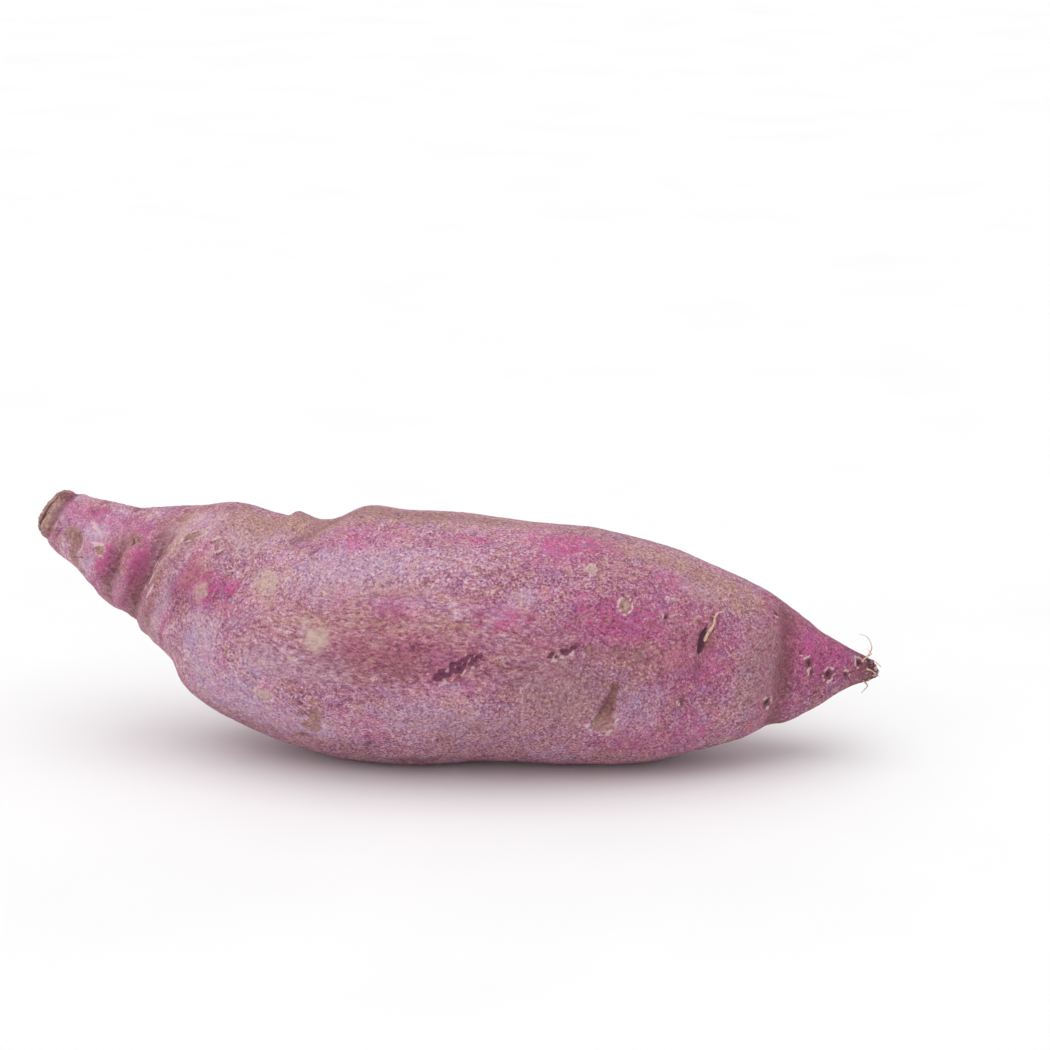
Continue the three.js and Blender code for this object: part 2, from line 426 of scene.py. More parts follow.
def work_neck():
    """The scars, folds and stains of the neck."""
    neck = 1 - fade(skin.along + 2.0 * wander, 34.0, 52.0)
    lay("ringed", neck)
    patches(
        ("flush", 0.048, 0.85, 5.5, 3.2, 0.7, 0.5),
        ("flush", 0.075, 0.10, 2.0, 2.0, 0.4, 0.6),
        ("deep", 0.105, -0.05, 2.2, 4.0, 0.7, 0.5),
        ("deep", 0.147, 0.10, 2.6, 6.0, 0.8, 0.4),
        ("deep", 0.185, 0.15, 3.0, 5.0, 0.7, 0.7),
        ("flush", 0.090, 1.00, 9.0, 3.0, 0.45, 0.5),
        ("bloom", 0.030, 0.65, 1.4, 1.6, 0.6, 0.25),
    )
    patch("cork", 0.053, 0.12, 2.4, 2.2, most=0.95, soft=0.3, rough=0.5)
    patch("cork", 0.060, -0.15, 1.2, 2.0, most=0.9, soft=0.3, rough=0.5)
    patch("shade_and_stain", 0.060, 0.18, 1.0, 1.3, most=0.65, rough=0.4)
    crack([(0.060, -0.42), (0.074, -0.20), (0.066, -0.02)], 0.30, 0.10, most=0.6)
    crack([(0.078, -0.35), (0.083, -0.10)], 0.30, 0.10, most=0.5)
    patch("cork", 0.066, -0.48, 1.1, 1.4, most=0.75, rough=0.5)
    lenticel(0.091, 0.20, 1.15, 0.95, layer="cork", raised=0.18)
    patch("cork", 0.091, 0.20, 1.2, 0.9, soft=0.2, rough=0.2)
    patch("bloom", 0.070, 0.60, 10.0, 4.0, most=0.35, rough=0.3)
    patch("rim", 0.084, 0.28, 1.6, 0.4, most=0.8, turn=0.3)
    patch("cork", 0.079, -0.60, 1.1, 0.8, most=0.7, rough=0.5)
    patch("bloom", 0.070, 0.50, 4.0, 1.8, most=0.7, rough=0.5)
    patch("rim", 0.073, 0.62, 1.6, 0.7, most=0.6, rough=0.6, turn=-0.5)
    patches(
        ("rim", 0.086, 0.48, 0.9, 1.5, 0.5, 0.6),
        ("bloom", 0.084, -0.30, 2.6, 3.0, 0.6, 0.25),
        ("bloom", 0.128, -0.30, 2.0, 3.5, 0.6, 0.25),
        ("flush", 0.099, 0.02, 1.8, 3.4, 0.9, 0.4),
        ("cork", 0.126, 0.66, 2.2, 1.8, 0.65, 0.6),
        ("tan", 0.124, 0.60, 3.6, 3.2, 0.8, 0.5),
    )
    crack([(0.121, 0.72), (0.128, 0.60), (0.124, 0.52)], 0.32, 0.3, most=0.8)
    crack([(0.128, 0.74), (0.134, 0.62)], 0.28, 0.25, most=0.8)
    fold(0.113, 0.000, 0.75, 1.4, -1.0, 0.75, shade=1.0, tan=0.7, line=0.5)
    fold(0.156, 0.004, 1.10, 2.0, -1.3, 1.1, shade=1.0, tan=0.8, line=0.6)
    fold(0.182, 0.004, 0.35, 1.2, -1.5, 0.2, shade=0.45, tan=0.5, line=0.2)
    fold(0.140, 0.002, 0.25, 1.0, -1.3, 0.4, shade=0.5, tan=0.3, line=0.1)
    # a magenta flush, and painted brown shade that widens the main fold's
    patches(
        ("flush", 0.146, 0.25, 1.9, 5.0, 0.9, 0.4),
        ("shade_and_stain", 0.150, 0.00, 1.6, 4.8, 0.55, 0.4),
        ("shade_and_stain", 0.156, -0.15, 1.1, 6.0, 0.7, 0.4),
    )
    for share, angle in ((0.166, 0.50), (0.171, 0.25), (0.165, 0.05), (0.176, 0.10)):
        crack([(share, angle), (share - 0.003, angle - 0.22)], 0.35, -0.20, "rim", 0.75)
    patch("cork", 0.170, 0.10, 1.6, 6.0, most=0.45, rough=0.7)
    patch("tan", 0.172, 0.95, 4.0, 6.0, most=0.75, turn=0.3, rough=0.4)
    patch("bloom", 0.186, 1.15, 5.5, 2.4, most=0.7, turn=0.8)
    patches(
        ("bloom", 0.194, -0.10, 1.8, 7.0, 0.75, 0.25),
        ("bloom", 0.172, -0.75, 1.4, 4.0, 0.6, 0.25),
        ("flush", 0.206, -0.25, 1.2, 5.0, 0.45, 0.25),
    )
    lenticel(0.194, 0.92, 2.9, 0.95, turn=0.93, raised=0.2, layer="cork")
    patch("shade_and_stain", 0.188, 0.80, 1.3, 0.7, most=0.8)
    patch("cream", 0.199, 1.02, 0.9, 0.8, most=0.8)


def work_shoulder():
    """The hump behind the waist, and the worn patches in front of it, with painted shade along the
    waist and beside raised flakes.
    """
    patches(
        ("tan", 0.290, 1.45, 17.0, 5.5, 1.0, 0.3),
        ("tan", 0.240, 1.15, 8.0, 5.0, 0.45, 0.5),
        ("bloom", 0.260, 1.15, 9.0, 4.0, 0.4, 0.4),
        ("cork", 0.270, 1.42, 6.0, 3.0, 0.5, 0.8),
    )
    waist, down = line_of([(0.371, 1.75), (0.348, 1.45), (0.319, 1.08), (0.312, 0.85)])
    skin.relief -= 0.45 * np.exp(-((waist / 2.2) ** 2)) * (1 - fade(down, 0.6, 1.0))
    # painted shade along the crease of the waist, where the hump meets the shoulder
    lay("shade_and_stain", np.exp(-((waist / 1.6) ** 2)) * (1 - fade(down, 0.45, 0.9)), 0.45)
    for share, angle, rise in ((0.214, 0.92, 0.12), (0.226, 0.78, 0.16), (0.252, 0.68, 0.05)):
        crack([(share, angle), (share + 0.010, angle + rise)], 0.32, -0.22, "rim", 0.9)
        # beside each raised flake, a line of painted shadow
        crack([(share, angle - 0.05), (share + 0.010, angle + rise - 0.05)], 0.25, 0.1, "shade_and_stain", 0.8)
    patches(
        ("flush", 0.236, 0.46, 3.2, 3.0, 0.95, 0.6),
        ("deep", 0.245, 0.44, 7.0, 3.0, 0.8, 0.8),
        ("flush", 0.264, 0.54, 3.0, 1.8, 0.9, 0.6),
        ("flush", 0.248, 0.30, 6.0, 2.0, 0.5, 0.6),
        ("flush", 0.210, 0.40, 1.5, 4.0, 0.6, 0.6),
        ("tan", 0.226, 0.52, 3.0, 3.0, 0.8, 0.5),
        ("cream", 0.234, 0.35, 2.0, 2.6, 0.55, 0.6),
        ("cork", 0.262, 0.85, 4.5, 2.5, 0.3, 0.6),
        ("bloom", 0.255, -0.10, 4.0, 7.0, 0.8, 0.4),
        ("bloom", 0.300, -0.50, 8.0, 6.0, 0.75, 0.4),
        ("bloom", 0.360, -0.60, 9.0, 4.0, 0.6, 0.5),
        ("bloom", 0.330, -0.05, 5.0, 4.0, 0.45, 0.5),
        ("cream", 0.310, 0.64, 3.4, 3.4, 0.62, 0.6),
        ("tan", 0.312, 0.62, 5.0, 4.5, 0.6, 0.5),
    )
    patch("cream", 0.386, 0.23, 2.6, 2.4, most=0.85, soft=0.4, rough=0.5)
    patch("tan", 0.384, 0.28, 4.0, 3.6, most=0.7, rough=0.5)
    patch("cream", 0.372, 0.36, 1.6, 1.0, most=0.6, rough=0.5)
    lenticel(0.360, 0.06, 1.05, 0.85, raised=0.05, most=0.7)
    lenticel(0.334, -0.35, 1.7, 1.6, raised=0.05, most=0.85)
    lenticel(0.386, 0.60, 1.0, 0.7, raised=0.08, most=0.6)
    for share, angle, long, wide in ((0.387, -0.42, 1.4, 1.3), (0.381, -0.58, 1.9, 1.6)):
        patch("cork", share, angle, long, wide, soft=0.25, rough=0.35)
        skin.relief -= 0.18 * (1 - fade(oval(share, angle, long, wide), 0.7, 1.1))
    patch("cork", 0.384, -0.50, 1.2, 1.3, soft=0.25, rough=0.35)
    patches(
        ("rim", 0.393, -0.55, 0.6, 2.2, 0.6, 0.5),
        ("shade_and_stain", 0.371, -0.72, 1.4, 0.9, 0.8, 0.4),
        ("cork", 0.368, -0.74, 1.3, 0.8, 0.8, 0.4),
    )


def work_belly():
    """The thick of the body: streaks, rubbed places, breathing spots and thin cracks."""
    patch("streak", 0.47, 0.22, 32.0, 11.0, most=1.0, soft=0.5, rough=0.1)
    patches(
        ("bloom", 0.40, 0.80, 12.0, 5.0, 0.6, 0.4),
        ("bloom", 0.47, 0.92, 14.0, 4.0, 0.4, 0.4),
        ("bloom", 0.39, 0.02, 6.0, 4.0, 0.5, 0.5),
        ("bloom", 0.50, -0.40, 14.0, 4.0, 0.35, 0.5),
        ("flush", 0.47, 0.18, 15.0, 4.0, 0.45, 0.6),
        ("flush", 0.46, 0.50, 3.5, 2.4, 0.55, 0.6),
        ("flush", 0.41, 1.15, 14.0, 4.0, 0.35, 0.6),
        ("flush", 0.535, 1.20, 4.5, 2.0, 0.7, 0.6),
        ("flush", 0.575, 0.45, 6.0, 3.0, 0.4, 0.6),
        ("tan", 0.47, 0.22, 24.0, 7.0, 0.55, 0.5),
        ("tan", 0.455, 0.27, 5.0, 1.4, 0.8, 0.6),
        ("tan", 0.52, 0.33, 8.0, 1.6, 0.7, 0.6),
        ("tan", 0.44, 0.62, 12.0, 2.0, 0.5, 0.6),
        ("tan", 0.45, 1.60, 30.0, 5.0, 0.8, 0.3),
        ("shade_and_stain", 0.45, 1.62, 26.0, 3.5, 0.4, 0.3),
        ("shade_and_stain", 0.47, 0.10, 14.0, 3.5, 0.25, 0.5),
        ("cream", 0.45, 0.21, 3.0, 1.2, 0.45, 0.7),
    )
    torn([(0.512, -0.035), (0.524, 0.02), (0.540, 0.08), (0.554, 0.15)], 1.75)
    torn([(0.622, 0.17), (0.635, 0.20), (0.650, 0.27)], 1.15)
    patch("torn", 0.487, 0.19, 0.8, 0.6, most=0.7)
    patch("dark", 0.523, -0.01, 1.2, 0.7, most=0.45, rough=0.5, turn=0.4)
    lenticel(0.473, 1.08, 1.1, 0.5, raised=0.12)
    crack([(0.566, 0.85), (0.576, 0.82), (0.586, 0.78)], 0.22, 0.12, "shade_and_stain", 0.9)
    crack([(0.541, 0.67), (0.561, 0.675)], 0.30, -0.10, "rim", 0.6)
    crack([(0.466, 0.64), (0.486, 0.65)], 0.28, -0.08, "rim", 0.4)
    crack([(0.40, 1.30), (0.43, 1.33), (0.46, 1.30)], 0.25, 0.12, "shade_and_stain", 0.7)
    patches(
        ("dark", 0.405, 1.47, 0.8, 0.6, 0.7, 0.25),
        ("deep", 0.49, 0.15, 24.0, 5.5, 0.95, 0.6),
        ("deep", 0.44, 0.45, 12.0, 3.0, 0.5, 0.7),
        ("deep", 0.40, -0.15, 10.0, 4.0, 0.35, 0.6),
        ("grey", 0.645, -0.10, 10.0, 8.0, 0.8, 0.4),
        ("grey", 0.575, -0.55, 16.0, 6.0, 0.55, 0.4),
        ("grey", 0.40, -0.90, 22.0, 5.0, 0.5, 0.4),
        ("shade_and_stain", 0.478, -0.96, 5.0, 1.3, 0.7, 0.6),
        ("flush", 0.440, -0.62, 3.0, 1.6, 0.5, 0.5),
    )
    pit(0.437, -0.70, 0.6, 0.2, dark=0.7)


def work_root_half():
    """From the thick of the body to the root end: eyes, a long scar, the last fold, pits."""
    patch("deep", 0.73, 0.30, 26.0, 20.0, most=0.75, soft=0.7, rough=0.3)
    patch("deep", 0.93, 0.30, 14.0, 18.0, most=0.9, soft=0.5, rough=0.3)
    patches(
        ("flush", 0.640, 1.30, 8.0, 4.5, 1.0, 0.5),
        ("flush", 0.620, 1.05, 5.0, 4.0, 0.5, 0.6),
        ("flush", 0.690, 0.50, 8.0, 5.5, 0.75, 0.6),
        ("flush", 0.742, 0.85, 7.0, 5.0, 0.35, 0.6),
        ("flush", 0.775, 0.25, 8.0, 8.0, 0.5, 0.6),
        ("flush", 0.740, -0.60, 12.0, 5.0, 0.45, 0.6),
        ("flush", 0.925, 0.65, 10.0, 7.0, 0.75, 0.4),
        ("bloom", 0.772, 0.98, 4.0, 2.5, 0.55, 0.5),
        ("bloom", 0.715, -0.30, 5.0, 6.0, 0.5, 0.5),
        ("bloom", 0.595, 0.62, 3.0, 2.0, 0.5, 0.5),
        ("tan", 0.730, 1.35, 14.0, 4.0, 0.8, 0.4),
        ("tan", 0.810, 1.10, 12.0, 5.0, 0.8, 0.4),
        ("tan", 0.720, 0.20, 8.0, 4.0, 0.6, 0.5),
        ("tan", 0.760, 0.45, 5.0, 6.0, 0.4, 0.5),
        ("tan", 0.640, -0.15, 8.0, 6.0, 0.4, 0.5),
        ("grey", 0.852, 0.20, 5.0, 12.0, 0.9, 0.3),
        ("tan", 0.860, 0.25, 4.0, 10.0, 0.5, 0.4),
    )
    lenticel(0.659, 0.96, 1.0, 1.4, raised=0.1, most=0.9)
    lenticel(0.694, 0.67, 1.2, 1.75, raised=0.16, layer="cork")
    patch("cream", 0.695, 0.66, 0.7, 1.1, most=0.5)
    for share, angle, long, wide in (
        (0.664, 0.26, 1.2, 0.9),
        (0.690, 0.26, 0.9, 1.0),
        (0.713, 0.25, 1.2, 1.4),
    ):
        lenticel(share, angle, long, wide, raised=0.12, most=0.55, layer="cork")
        patch("shade_and_stain", share, angle, 1.8 * long, 1.5 * wide, most=0.45, rough=0.5)
    patch("rim", 0.742, 0.80, 1.6, 1.2, most=0.5, rough=0.7)
    gouge([(0.693, -0.05), (0.691, -0.17), (0.687, -0.30), (0.684, -0.41)], 0.8, 2.2, 0.75)
    # a line of painted shade along the sunk left side of the scar
    crack([(0.688, -0.10), (0.683, -0.24), (0.677, -0.38)], 0.55, 0.30, "shade_and_stain", 0.95)
    crack([(0.689, -0.16), (0.684, -0.28)], 0.30, 0.10, most=0.55)
    crack([(0.784, 0.58), (0.781, 0.46), (0.779, 0.30)], 0.95, 0.75, most=0.95)
    # painted brown shade beside the sunk crack, and a little cork
    patches(
        ("shade_and_stain", 0.786, 0.44, 1.8, 2.4, 0.6, 0.25),
        ("shade_and_stain", 0.778, 0.20, 1.0, 2.2, 0.6, 0.5),
        ("cork", 0.777, 0.24, 1.0, 0.9, 0.5, 0.25),
    )
    fold(0.882, 0.001, 0.75, 2.0, -1.4, 1.6, shade=0.95, tan=0.15, line=0.25)
    # painted brown shade that widens the fold's
    patch("shade_and_stain", 0.890, 0.05, 1.1, 5.0, most=0.4, rough=0.5)
    patch("grey", 0.866, 0.40, 2.6, 7.0, most=0.6)
    for share, angle, size in (
        (0.866, -0.32, 0.8),
        (0.869, 1.07, 0.4),
        (0.911, 0.38, 0.75),
        (0.915, 0.20, 0.45),
        (0.937, 0.10, 0.8),
        (0.958, 0.02, 0.55),
        (0.974, 0.70, 0.6),
        (0.900, 0.55, 0.35),
        (0.765, -0.17, 0.5),
        (0.738, 0.62, 0.45),
    ):
        pit(share, angle, size, 0.5 * size)
    skin.relief += 0.05 * (1 - fade(oval(0.850, 0.20, 9.0, 12.0), 0.4, 1.2)) * grains(1.0, seed=7)


def work_root_end():
    """The last few millimetres: a ragged, dry stump where the thin root broke off."""
    left = skin.length - skin.along
    dry = 1 - fade(left + 1.2 * ragged, 2.0, 5.5)
    skin.relief += 0.35 * dry * grains(1.1, octaves=3, seed=8)
    lay("shade_and_stain", 1 - fade(left + 1.5 * ragged, 4.0, 9.0), 0.8)
    lay("cork", dry, 0.5)
    lay("rim", dry * fade(breaks, 0.15, 0.5), 0.6)
    lay("dark", dry * fade(grains(0.9, octaves=2, seed=9), -0.05, 0.35), 0.8)
    patch("flush", 0.95, 0.9, 6.0, 3.0, most=0.4, rough=0.5)


def work_hidden_sides():
    """The back and the underside, with the same kinds of mark as the front."""
    for share, angle, size, depth in (
        (0.36, 2.78, 1.5, 0.7),
        (0.60, 2.50, 1.3, 0.6),
        (0.72, -2.18, 1.3, 0.6),
        (0.30, -2.50, 1.1, 0.5),
        (0.46, -1.95, 0.8, 0.35),
        (0.84, 2.90, 0.9, 0.4),
        (0.81, -1.40, 0.9, 0.4),
        (0.17, 3.00, 0.7, 0.3),
        (0.93, -2.40, 0.8, 0.4),
        (0.95, 2.10, 0.7, 0.35),
        (0.52, 1.95, 0.6, 0.25),
    ):
        pit(share, angle, size, depth)
        patch("cork", share, angle, 1.9 * size, 1.6 * size, most=0.4, rough=0.6)
    for share, angle, long, wide, turn in (
        (0.44, 2.35, 1.8, 0.9, 1.2),
        (0.27, 2.20, 1.3, 1.0, 0.4),
        (0.52, 3.05, 1.2, 1.5, 0.0),
        (0.66, -2.75, 1.6, 0.9, 1.3),
        (0.78, 2.30, 1.1, 1.4, 0.0),
        (0.22, -2.00, 1.4, 0.8, 0.9),
        (0.58, -1.60, 1.2, 0.9, 0.2),
        (0.39, -2.90, 1.5, 1.2, 0.5),
        (0.88, -2.60, 0.9, 1.2, 0.0),
    ):
        lenticel(share, angle, long, wide, turn, most=0.85)
    torn([(0.53, 2.75), (0.55, 2.70), (0.58, 2.72)], 1.5)
    torn([(0.34, -1.95), (0.36, -2.02), (0.375, -2.0)], 1.2)
    crack([(0.60, -2.9), (0.63, -2.97), (0.66, -2.95)], 0.8, 0.4, "cork", 0.9)
    crack([(0.40, 1.95), (0.42, 2.05), (0.45, 2.03)], 0.3, 0.15, "cork", 0.8)
    fold(0.118, 0.003, 0.40, 1.3, 1.9, 4.4)
    fold(0.160, 0.004, 0.70, 1.8, 2.2, 4.6)
    fold(0.884, 0.002, 0.40, 1.8, 2.2, 4.4)
    patch("streak", 0.52, 2.90, 34.0, 14.0, soft=0.5, rough=0.1)
    patch("streak", 0.45, -1.90, 26.0, 10.0, soft=0.5, rough=0.1)
    for share, angle, long, wide in (
        (0.25, 2.70, 6.0, 5.0),
        (0.42, 2.50, 9.0, 5.0),
        (0.63, 2.10, 9.0, 6.0),
        (0.75, 3.10, 10.0, 6.0),
        (0.62, -2.20, 11.0, 6.0),
        (0.33, -1.60, 7.0, 5.0),
        (0.91, 2.60, 8.0, 8.0),
    ):
        patch("flush", share, angle, long, wide, most=0.6, rough=0.6)
    for share, angle, long, wide in (
        (0.34, 2.30, 9.0, 5.0),
        (0.50, 2.00, 14.0, 5.0),
        (0.70, 2.40, 12.0, 5.0),
        (0.40, -2.60, 10.0, 5.0),
        (0.80, -3.00, 9.0, 6.0),
        (0.20, 2.60, 5.0, 5.0),
    ):
        patch("tan", share, angle, long, wide, most=0.7, rough=0.5)
    for share, angle, long, wide in (
        (0.35, 2.10, 9.0, 5.0),
        (0.56, 2.45, 8.0, 5.0),
        (0.48, -2.40, 12.0, 6.0),
        (0.80, -2.50, 8.0, 6.0),
    ):
        patch("bloom", share, angle, long, wide, most=0.5, rough=0.4)
    patch("deep", 0.35, 2.60, 22.0, 12.0, most=0.6, soft=0.7)
    patch("deep", 0.75, -2.60, 26.0, 14.0, most=0.7, soft=0.7)
    patch("deep", 0.55, 2.90, 20.0, 8.0, most=0.5, soft=0.7)
    patches(
        ("grey", 0.55, -1.57, 30.0, 7.0, 0.6, 0.25),
        ("grey", 0.70, 1.90, 14.0, 6.0, 0.5, 0.25),
        ("cream", 0.50, 2.20, 2.2, 1.8, 0.7, 0.5),
        ("cream", 0.68, 2.75, 1.8, 2.0, 0.6, 0.5),
        ("cream", 0.31, -2.15, 2.0, 1.6, 0.6, 0.5),
    )


def scatter_specks():
    """Small pale breathing spots, strewn over the whole root."""
    pick = np.random.default_rng(11)
    for _ in range(90):
        share, angle = pick.uniform(0.06, 0.95), pick.uniform(-math.pi, math.pi)
        size = pick.uniform(0.25, 0.6)
        stretch = pick.uniform(1.0, 1.8)
        most = pick.uniform(0.25, 0.7)
        lenticel(share, angle, size, size * stretch, raised=0.08, most=most)


def roughen():
    """The slow swellings, shallow furrows and fine grain that all skin of this kind has."""
    body = fade(skin.along, 2.0, 14.0)
    skin.relief += body * 0.30 * grains(13.0, stretch=1.8, seed=12)
    skin.relief += 0.11 * grains(4.2, stretch=1.5, seed=13)
    skin.relief += 0.045 * grains(1.7, octaves=3, seed=14)
    ridges = grains(2.6, stretch=7.0, seed=15)
    skin.relief += 0.05 * skin.layers["streak"] * ridges
    neck = 1 - fade(skin.along, 34.0, 52.0)
    skin.relief += 0.10 * neck * grains(2.0, stretch=0.45, seed=16)


work_stalk()
work_neck()
work_shoulder()
work_belly()
work_root_half()
work_root_end()
work_hidden_sides()
scatter_specks()
roughen()

# ---------------------------------------------------------------- meshes

TABLE_BLEND = 1.2  # relief fades to a trace over the last millimetres above the table
RELIEF_AT_TABLE = 0.15  # the share of it that is kept there


def press_relief():
    """Moves the skin out and in by its relief, and keeps the belly level on the table."""
    height = skin.place[..., 2]
    kept = RELIEF_AT_TABLE + (1 - RELIEF_AT_TABLE) * fade(height, 0.0, TABLE_BLEND)
    skin.place += skin.normals() * (skin.relief * kept)[..., None]
    skin.place[..., 2] = np.maximum(skin.place[..., 2], 0.0)


def skin_mesh():
    """The skin's grid as one closed mesh, with its layers and a cylindrical UV layout."""
    rings, around = skin.relief.shape
    poles = len(skin.place.reshape(-1, 3)) + np.arange(2)
    points = np.concatenate([skin.place.reshape(-1, 3), np.array(skin.poles)]) * MM
    grid = np.arange(rings * around).reshape(rings, around)
    following = np.roll(grid, -1, axis=1)
    quads = np.stack([grid[:-1], following[:-1], following[1:], grid[1:]], axis=-1).reshape(-1, 4)
    first = [(poles[0], b, a) for a, b in zip(grid[0], following[0])]
    last = [(poles[1], a, b) for a, b in zip(grid[-1], following[-1])]
    mesh = bpy.data.meshes.new("skin")
    mesh.from_pydata(points.tolist(), [], quads.tolist() + first + last)

    def paint(name, values, ends):
        kind = "FLOAT_VECTOR" if values.ndim == 3 else "FLOAT"
        flat = values.reshape(rings * around, -1)
        full = np.concatenate([flat, np.array(ends).reshape(2, -1)]).astype(np.float32)
        attribute = mesh.attributes.new(name, kind, "POINT")
        attribute.data.foreach_set("vector" if kind == "FLOAT_VECTOR" else "value", full.ravel())

    paint("straight", skin.straight, [[skin.along[0].mean(), 0, 0], [skin.length, 0, 0]])
    for name, layer in skin.layers.items():
        paint(name, layer, [layer[0].mean(), layer[-1].mean()])

    # Down the root the layout follows the distance from ring to ring, round it the angle.
    step = np.linalg.norm(np.diff(skin.place, axis=0), axis=2).mean(1)
    down = np.concatenate([[0.0], np.cumsum(step)]) + skin.girth[0]
    down = down / (down[-1] + skin.girth[-1])
    columns = np.arange(around) / around
    u0, u1 = down[:-1, None], down[1:, None]
    v0 = np.broadcast_to(columns, (rings - 1, around))
    v1 = v0 + 1 / around
    wide = [np.broadcast_to(u, v0.shape) for u in (u0, u0, u1, u1)]
    corners = np.stack([np.stack(pair, -1) for pair in zip(wide, (v0, v1, v1, v0))], axis=2)
    half = columns + 0.5 / around
    fan = np.zeros((2, around, 3, 2))
    fan[0, :, :, 1] = np.stack([half, columns + 1 / around, columns], axis=1)
    fan[0, :, 1:, 0] = down[0]
    fan[1, :, :, 1] = np.stack([half, columns, columns + 1 / around], axis=1)
    fan[1, :, 0, 0] = 1.0
    fan[1, :, 1:, 0] = down[-1]
    layout = mesh.uv_layers.new(name="OFBake")
    flat = np.concatenate([corners.reshape(-1, 2), fan.reshape(-1, 2)])
    layout.data.foreach_set("uv", flat.astype(np.float32).ravel())
    mesh.shade_smooth()
    return mesh


def place_on_skin(share, angle, lift=0.0):
    """A point of the skin, and the outward, onward and round directions there."""
    ring = int(np.argmin(abs(skin.ring_along - share * skin.length)))
    column = int(np.argmin(abs(skin.angle - angle)))
    out = skin.normals()[ring, column]
    onward = unit(skin.place[min(ring + 3, len(skin.place) - 1), column] - skin.place[ring - 3, column])
    return skin.place[ring, column] + out * lift, out, onward, np.cross(out, onward)


ROOTLET_SIDES = 7
ROOTLET_STEPS = 16


def rootlet(points, faces, thick, path):
    """Adds one fine root to points and faces: a tapered tube of that thickness at its base. path
    gives its places as share, angle and height off the skin in millimetres."""
    corners = np.array([place_on_skin(share, angle, lift)[0] for share, angle, lift in path])
    spaced = np.linspace(0, len(corners) - 1, ROOTLET_STEPS + 1)
    middle = np.stack([np.interp(spaced, range(len(corners)), c) for c in corners.T], axis=1)
    for _ in range(3):
        middle[1:-1] = (middle[:-2] + 2 * middle[1:-1] + middle[2:]) / 4
    forward = unit(np.gradient(middle, axis=0))
    side = unit(np.cross(forward, [0.3, 0.9, 0.2]))
    up = np.cross(forward, side)
    start = len(points)
    for k, centre in enumerate(middle):
        radius = thick / 2 * (1 - 0.7 * k / ROOTLET_STEPS) * (1 + 0.15 * math.sin(1.7 * k + thick))
        for turn in np.linspace(0, 2 * math.pi, ROOTLET_SIDES, endpoint=False):
            points.append(centre + radius * (math.cos(turn) * side[k] + math.sin(turn) * up[k]))
    for k in range(ROOTLET_STEPS):
        for j in range(ROOTLET_SIDES):
            a = start + k * ROOTLET_SIDES + j
            b = start + k * ROOTLET_SIDES + (j + 1) % ROOTLET_SIDES
            faces.append((a, b, b + ROOTLET_SIDES, a + ROOTLET_SIDES))
    last = start + ROOTLET_STEPS * ROOTLET_SIDES
    faces.append(tuple(start + j for j in reversed(range(ROOTLET_SIDES))))
    faces.append(tuple(last + j for j in range(ROOTLET_SIDES)))


def rootlets_mesh():
    """All the fine roots as one mesh."""
    points, faces = [], []
    for thick, path in (
        (0.8, [(0.783, 0.44, -0.5), (0.786, 0.52, 0.6), (0.790, 0.62, 1.0), (0.792, 0.71, 0.9),
               (0.796, 0.76, 0.8), (0.803, 0.79, 0.5)]),
        (0.35, [(0.978, 0.7, -0.3), (0.983, 1.0, 1.5), (0.982, 1.3, 3.2), (0.975, 1.5, 4.2),
                (0.968, 1.6, 3.6)]),
        (0.45, [(0.985, 0.3, -0.3), (0.990, 0.1, 0.9), (0.996, -0.2, 1.3)]),
        (0.4, [(0.983, -0.8, -0.3), (0.987, -1.0, 1.2), (0.980, -1.3, 2.2)]),
        (0.35, [(0.985, 1.9, -0.3), (0.990, 2.1, 1.4), (0.985, 2.5, 2.6)]),
        (0.4, [(0.986, 3.0, -0.3), (0.992, 2.9, 1.3), (0.998, 2.8, 1.6)]),
        (0.55, [(0.360, 2.78, -0.6), (0.356, 2.84, 1.2), (0.348, 2.92, 1.8), (0.338, 2.96, 0.9)]),
        (0.5, [(0.600, 2.50, -0.6), (0.606, 2.46, 1.0), (0.616, 2.44, 1.4), (0.624, 2.46, 0.7)]),
        (0.45, [(0.720, -2.18, -0.6), (0.726, -2.14, 1.0), (0.732, -2.06, 1.3)]),
    ):
        rootlet(points, faces, thick, path)
    mesh = bpy.data.meshes.new("rootlets")
    mesh.from_pydata((np.array(points) * MM).tolist(), [], faces)
    mesh.shade_smooth()
    return mesh


# ---------------------------------------------------------------- materials


def colour(red, green, blue):
    """A colour on screen, 0 to 255, as the light it stands for."""
    steps = [c / 255 for c in (red, green, blue)]
    return (*[s / 12.92 if s <= 0.04045 else ((s + 0.055) / 1.055) ** 2.4 for s in steps], 1.0)


